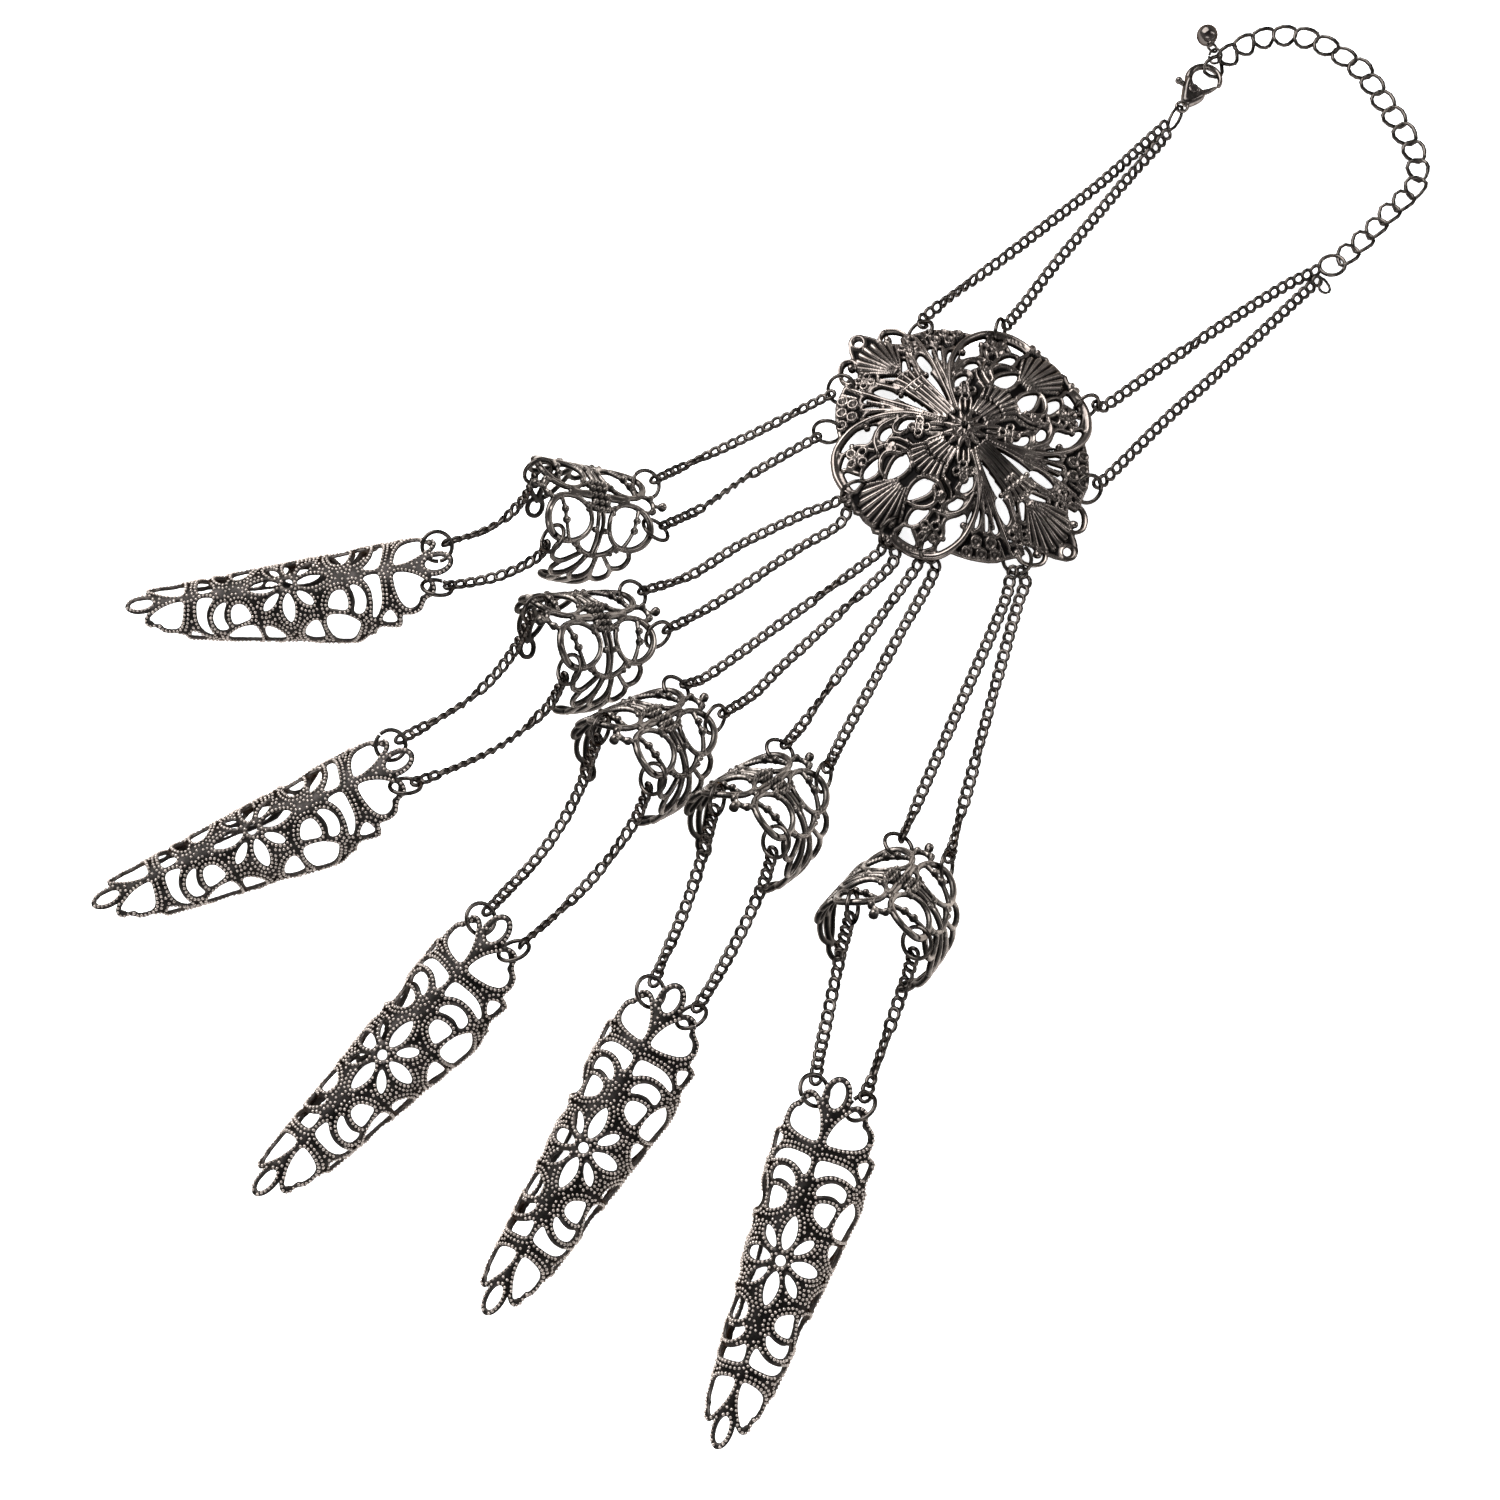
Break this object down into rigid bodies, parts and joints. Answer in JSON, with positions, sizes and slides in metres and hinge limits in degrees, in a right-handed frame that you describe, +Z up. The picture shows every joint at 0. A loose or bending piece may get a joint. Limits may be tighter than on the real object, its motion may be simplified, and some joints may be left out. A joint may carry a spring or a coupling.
{
  "type": "hand chain",
  "caption": "Hand chain of openwork metal: a domed medallion for the back of the hand, knuckle rings and finger sheaths on fine curb chains, and a clasp with an extender for the wrist.",
  "frame": {"origin": "middle of the laid-out piece's bounding box, at the height of the table it lies on", "axes": "+Z up from the table; the finger sheaths point toward -X and -Y, and the wrist clasp lies toward +X and +Y"},
  "size_m": [0.2462, 0.2727, 0.0255],
  "materials": {
    "cast_metal": "black-nickel plate over cast zinc alloy, satin in the hollows and bright on the raised beads",
    "chain_metal": "bright black-nickel plate on drawn wire"
  },
  "bodies": {
    "hand_chain": {"medallion": "cast_metal", "finger_sheath_1": "cast_metal", "finger_sheath_2": "cast_metal", "finger_sheath_3": "cast_metal", "finger_sheath_4": "cast_metal", "finger_sheath_5": "cast_metal", "knuckle_ring_1": "cast_metal", "knuckle_ring_2": "cast_metal", "knuckle_ring_3": "cast_metal", "knuckle_ring_4": "cast_metal", "knuckle_ring_5": "cast_metal", "upper_chain_1a": "chain_metal", "upper_chain_1b": "chain_metal", "upper_chain_2a": "chain_metal", "upper_chain_2b": "chain_metal", "upper_chain_3a": "chain_metal", "upper_chain_3b": "chain_metal", "upper_chain_4a": "chain_metal", "upper_chain_4b": "chain_metal", "upper_chain_5a": "chain_metal", "upper_chain_5b": "chain_metal", "lower_chain_1a": "chain_metal", "lower_chain_1b": "chain_metal", "lower_chain_2a": "chain_metal", "lower_chain_2b": "chain_metal", "lower_chain_3a": "chain_metal", "lower_chain_3b": "chain_metal", "lower_chain_4a": "chain_metal", "lower_chain_4b": "chain_metal", "lower_chain_5a": "chain_metal", "lower_chain_5b": "chain_metal", "wrist_chain_1": "chain_metal", "wrist_chain_2": "chain_metal", "wrist_chain_3": "chain_metal", "wrist_chain_4": "chain_metal", "medallion_jump_rings": "chain_metal", "knuckle_jump_rings_1": "chain_metal", "knuckle_jump_rings_2": "chain_metal", "knuckle_jump_rings_3": "chain_metal", "knuckle_jump_rings_4": "chain_metal", "knuckle_jump_rings_5": "chain_metal", "sheath_jump_rings_1": "chain_metal", "sheath_jump_rings_2": "chain_metal", "sheath_jump_rings_3": "chain_metal", "sheath_jump_rings_4": "chain_metal", "sheath_jump_rings_5": "chain_metal", "clasp_body": "cast_metal", "clasp_link": "chain_metal", "wrist_end_ring": "chain_metal", "extender_chain": "chain_metal", "drop_ring": "chain_metal", "ball_drop": "cast_metal"},
    "lever": {"clasp_lever": "chain_metal"}
  },
  "joints": [
    {"name": "clasp_lever_hinge", "type": "hinge", "parent": "hand_chain", "child": "lever", "pos_m": [0.07843, 0.1213, 0.00155], "axis": [0, 0, 1], "range_deg": [0, 25], "stiffness_Nm_per_rad": 0.004, "springref_deg": -11.46}
  ]
}
